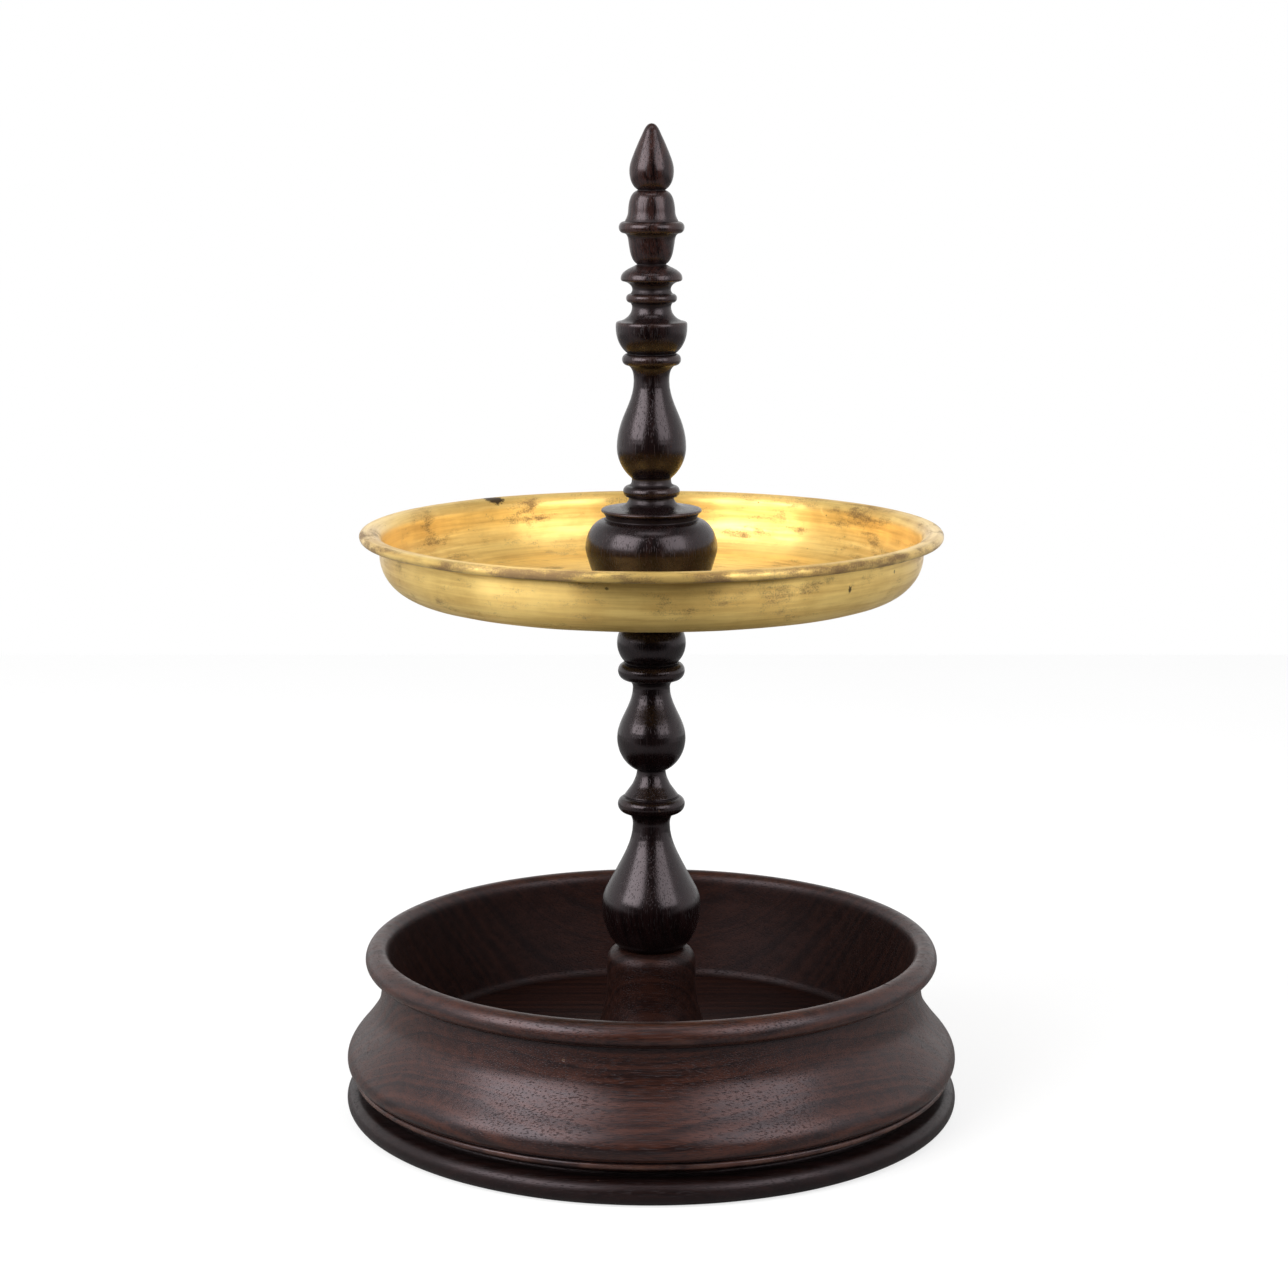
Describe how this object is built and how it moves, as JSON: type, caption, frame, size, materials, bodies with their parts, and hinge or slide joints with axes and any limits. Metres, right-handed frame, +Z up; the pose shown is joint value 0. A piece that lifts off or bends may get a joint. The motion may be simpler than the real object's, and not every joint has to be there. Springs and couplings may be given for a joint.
{
  "type": "two-tier stand",
  "caption": "Free-standing two-tier table stand: a turned dark wood bowl on a foot ring, a wood baluster pillar and a wide shallow spun brass dish clamped half way up it.",
  "frame": {"origin": "centre of the face that the stand rests on, under its turning axis", "axes": "+Z up along the turning axis; the stand is round about Z, so +X and +Y are free choices, with -Y towards the viewer"},
  "size_m": [0.302, 0.302, 0.4797],
  "materials": {
    "bowl_wood": "dark reddish brown hardwood, rubbed satin wax over fine open pores",
    "pillar_wood": "near-black brown hardwood, turned and polished to a satin sheen",
    "spun_brass": "old polish with spinning lines, brown tarnish in the corners and small dark spots",
    "insert_brass": "machined, dull",
    "steel": "zinc plated, dull",
    "felt": "thin pressed wool felt, dark brown"
  },
  "bodies": {
    "stand": {"base_bowl": "bowl_wood", "foot_ring": "bowl_wood", "base_felt": "felt", "base_bolt": "steel", "base_washer": "steel", "lower_base_insert": "insert_brass", "lower_pillar": "pillar_wood", "lower_top_insert": "insert_brass", "lower_felt": "felt"},
    "dish": {"brass_dish": "spun_brass", "rim_wire": "steel"},
    "clamp_felt": {"upper_felt": "felt"},
    "top_pillar": {"upper_pillar": "pillar_wood", "upper_insert": "insert_brass", "joint_stud": "steel"}
  },
  "joints": [
    {"name": "dish_turn", "type": "hinge", "parent": "stand", "child": "dish", "pos_m": [0, 0, 0.2565], "axis": [0, 0, 1], "continuous": true},
    {"name": "pillar_rise", "type": "slide", "parent": "stand", "child": "clamp_felt", "axis": [0, 0, 1], "range_m": [0, 0.0125]},
    {"name": "pillar_unscrew", "type": "hinge", "parent": "clamp_felt", "child": "top_pillar", "pos_m": [0, 0, 0.2587], "axis": [0, 0, 1], "range_deg": [0, 3600]}
  ],
  "couplings": [
    {"joint": "pillar_unscrew", "follows": "pillar_rise", "rad_per_m": 5026.5}
  ]
}
